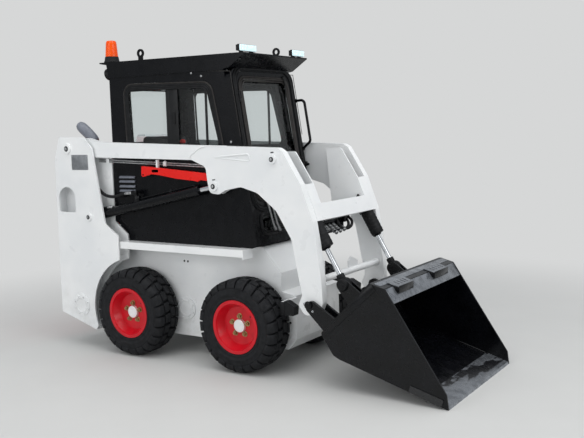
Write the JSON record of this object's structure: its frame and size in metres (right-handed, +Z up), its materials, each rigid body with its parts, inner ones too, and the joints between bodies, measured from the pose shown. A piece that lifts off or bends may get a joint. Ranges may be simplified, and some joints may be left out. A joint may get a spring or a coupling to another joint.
{
  "type": "skid steer loader",
  "caption": "Compact wheeled skid steer loader with enclosed cab, curved lift arms pivoted behind the cab, and a smooth-edged front bucket.",
  "frame": {"origin": "on the ground, at the middle of the whole length and width", "axes": "+X forward, out over the bucket; +Y to the machine's left; +Z up"},
  "size_m": [2.952, 0.99, 2.105],
  "materials": {
    "white_paint": "gloss white enamel",
    "black_paint": "satin black enamel",
    "red_paint": "gloss red enamel",
    "rim_red": "gloss red wheel enamel",
    "grey_paint": "satin grey heatproof paint",
    "worn_steel": "bare steel worn bright",
    "chrome_rod": "hard chrome rod",
    "engine_iron": "painted iron",
    "tyre_rubber": "tyre rubber",
    "black_rubber": "moulded rubber",
    "clear_glass": "clear safety glass",
    "seat_vinyl": "grained black vinyl",
    "black_plastic": "matt black plastic",
    "amber_lens": "amber lens plastic"
  },
  "bodies": {
    "machine": {"lower_frame": "white_paint", "upright_right": "white_paint", "upright_left": "white_paint", "sill_rails": "white_paint", "arm_stops": "black_rubber", "axle_housings": "black_paint", "engine": "engine_iron", "rear_hood": "red_paint", "tailgate_hinges": "black_paint", "exhaust": "grey_paint", "cab_side_right": "black_paint", "cab_side_left": "black_paint", "cab_rear_wall": "black_paint", "cab_floor": "black_paint", "cab_roof": "black_paint", "lifting_eyes": "black_paint", "cab_front_frame": "black_paint", "cab_glass": "clear_glass", "seat": "seat_vinyl", "control_levers": "black_plastic", "work_lamps": "black_plastic", "beacon": "amber_lens", "grab_handle": "black_paint"},
    "door": {"front_door": "black_paint", "front_door_glass": "clear_glass"},
    "gate": {"tailgate": "red_paint"},
    "arms": {"lift_arm_right": "white_paint", "lift_arm_left": "white_paint", "arm_crossmember": "white_paint", "arm_cross_tube": "white_paint", "safety_strut": "red_paint"},
    "bucket": {"coupler": "black_paint", "bucket_shell": "black_paint", "cutting_edge": "worn_steel", "bucket_step_plates": "black_paint"},
    "lift_barrel_right": {"lift_barrel_right": "black_paint"},
    "lift_barrel_left": {"lift_barrel_left": "black_paint"},
    "lift_rod_right": {"lift_rod_right": "chrome_rod"},
    "lift_rod_left": {"lift_rod_left": "chrome_rod"},
    "tilt_barrel_right": {"tilt_barrel_right": "black_paint"},
    "tilt_barrel_left": {"tilt_barrel_left": "black_paint"},
    "tilt_rod_right": {"tilt_rod_right": "chrome_rod"},
    "tilt_rod_left": {"tilt_rod_left": "chrome_rod"},
    "wheel_front_right": {"tyre_front_right": "tyre_rubber", "rim_front_right": "rim_red"},
    "wheel_front_left": {"tyre_front_left": "tyre_rubber", "rim_front_left": "rim_red"},
    "wheel_rear_right": {"tyre_rear_right": "tyre_rubber", "rim_rear_right": "rim_red"},
    "wheel_rear_left": {"tyre_rear_left": "tyre_rubber", "rim_rear_left": "rim_red"}
  },
  "joints": [
    {"name": "lift_arms", "type": "hinge", "parent": "machine", "child": "arms", "pos_m": [-1.332, 0, 1.385], "axis": [0, -1, 0], "range_deg": [0, 65]},
    {"name": "bucket_tilt", "type": "hinge", "parent": "arms", "child": "bucket", "pos_m": [0.6, 0, 0.468], "axis": [0, -1, 0], "range_deg": [-72, 42]},
    {"name": "front_door", "type": "hinge", "parent": "machine", "child": "door", "pos_m": [0.1969, -0.2965, 0.7744], "axis": [0.1542, 0, -0.988], "range_deg": [0, 75]},
    {"name": "tailgate", "type": "hinge", "parent": "machine", "child": "gate", "pos_m": [-1.463, 0.3355, 0.7], "axis": [0, 0, -1], "range_deg": [0, 100]},
    {"name": "lift_barrel_right", "type": "hinge", "parent": "machine", "child": "lift_barrel_right", "pos_m": [-1.154, -0.39, 0.917], "axis": [0, -1, 0], "range_deg": [0, 57.4]},
    {"name": "lift_barrel_left", "type": "hinge", "parent": "machine", "child": "lift_barrel_left", "pos_m": [-1.154, 0.39, 0.917], "axis": [0, -1, 0], "range_deg": [0, 57.4]},
    {"name": "lift_rod_right", "type": "slide", "parent": "lift_barrel_right", "child": "lift_rod_right", "axis": [0.9787, 0, 0.2054], "range_m": [0, 0.5082]},
    {"name": "lift_rod_left", "type": "slide", "parent": "lift_barrel_left", "child": "lift_rod_left", "axis": [0.9787, 0, 0.2054], "range_m": [0, 0.5082]},
    {"name": "tilt_barrel_right", "type": "hinge", "parent": "arms", "child": "tilt_barrel_right", "pos_m": [0.362, -0.3225, 1.308], "axis": [0, -1, 0], "range_deg": [-3.7, 2.2]},
    {"name": "tilt_barrel_left", "type": "hinge", "parent": "arms", "child": "tilt_barrel_left", "pos_m": [0.362, 0.3225, 1.308], "axis": [0, -1, 0], "range_deg": [-3.7, 2.2]},
    {"name": "tilt_rod_right", "type": "slide", "parent": "tilt_barrel_right", "child": "tilt_rod_right", "axis": [0.4987, 0, -0.8668], "range_m": [-0.129, 0.2205]},
    {"name": "tilt_rod_left", "type": "slide", "parent": "tilt_barrel_left", "child": "tilt_rod_left", "axis": [0.4987, 0, -0.8668], "range_m": [-0.129, 0.2205]},
    {"name": "wheel_front_right", "type": "hinge", "parent": "machine", "child": "wheel_front_right", "pos_m": [0.097, -0.387, 0.292], "axis": [0, 1, 0], "continuous": true},
    {"name": "wheel_front_left", "type": "hinge", "parent": "machine", "child": "wheel_front_left", "pos_m": [0.097, 0.387, 0.292], "axis": [0, 1, 0], "continuous": true},
    {"name": "wheel_rear_right", "type": "hinge", "parent": "machine", "child": "wheel_rear_right", "pos_m": [-0.789, -0.387, 0.292], "axis": [0, 1, 0], "continuous": true},
    {"name": "wheel_rear_left", "type": "hinge", "parent": "machine", "child": "wheel_rear_left", "pos_m": [-0.789, 0.387, 0.292], "axis": [0, 1, 0], "continuous": true}
  ],
  "couplings": [
    {"joint": "lift_barrel_right", "follows": "lift_arms", "ratio": 0.88192},
    {"joint": "lift_barrel_left", "follows": "lift_arms", "ratio": 0.88192},
    {"joint": "lift_rod_right", "follows": "lift_arms", "m_per_rad": 0.44756},
    {"joint": "lift_rod_left", "follows": "lift_arms", "m_per_rad": 0.44756},
    {"joint": "tilt_barrel_right", "follows": "bucket_tilt", "ratio": 0.05},
    {"joint": "tilt_barrel_left", "follows": "bucket_tilt", "ratio": 0.05},
    {"joint": "tilt_rod_right", "follows": "bucket_tilt", "m_per_rad": -0.175},
    {"joint": "tilt_rod_left", "follows": "bucket_tilt", "m_per_rad": -0.175}
  ]
}
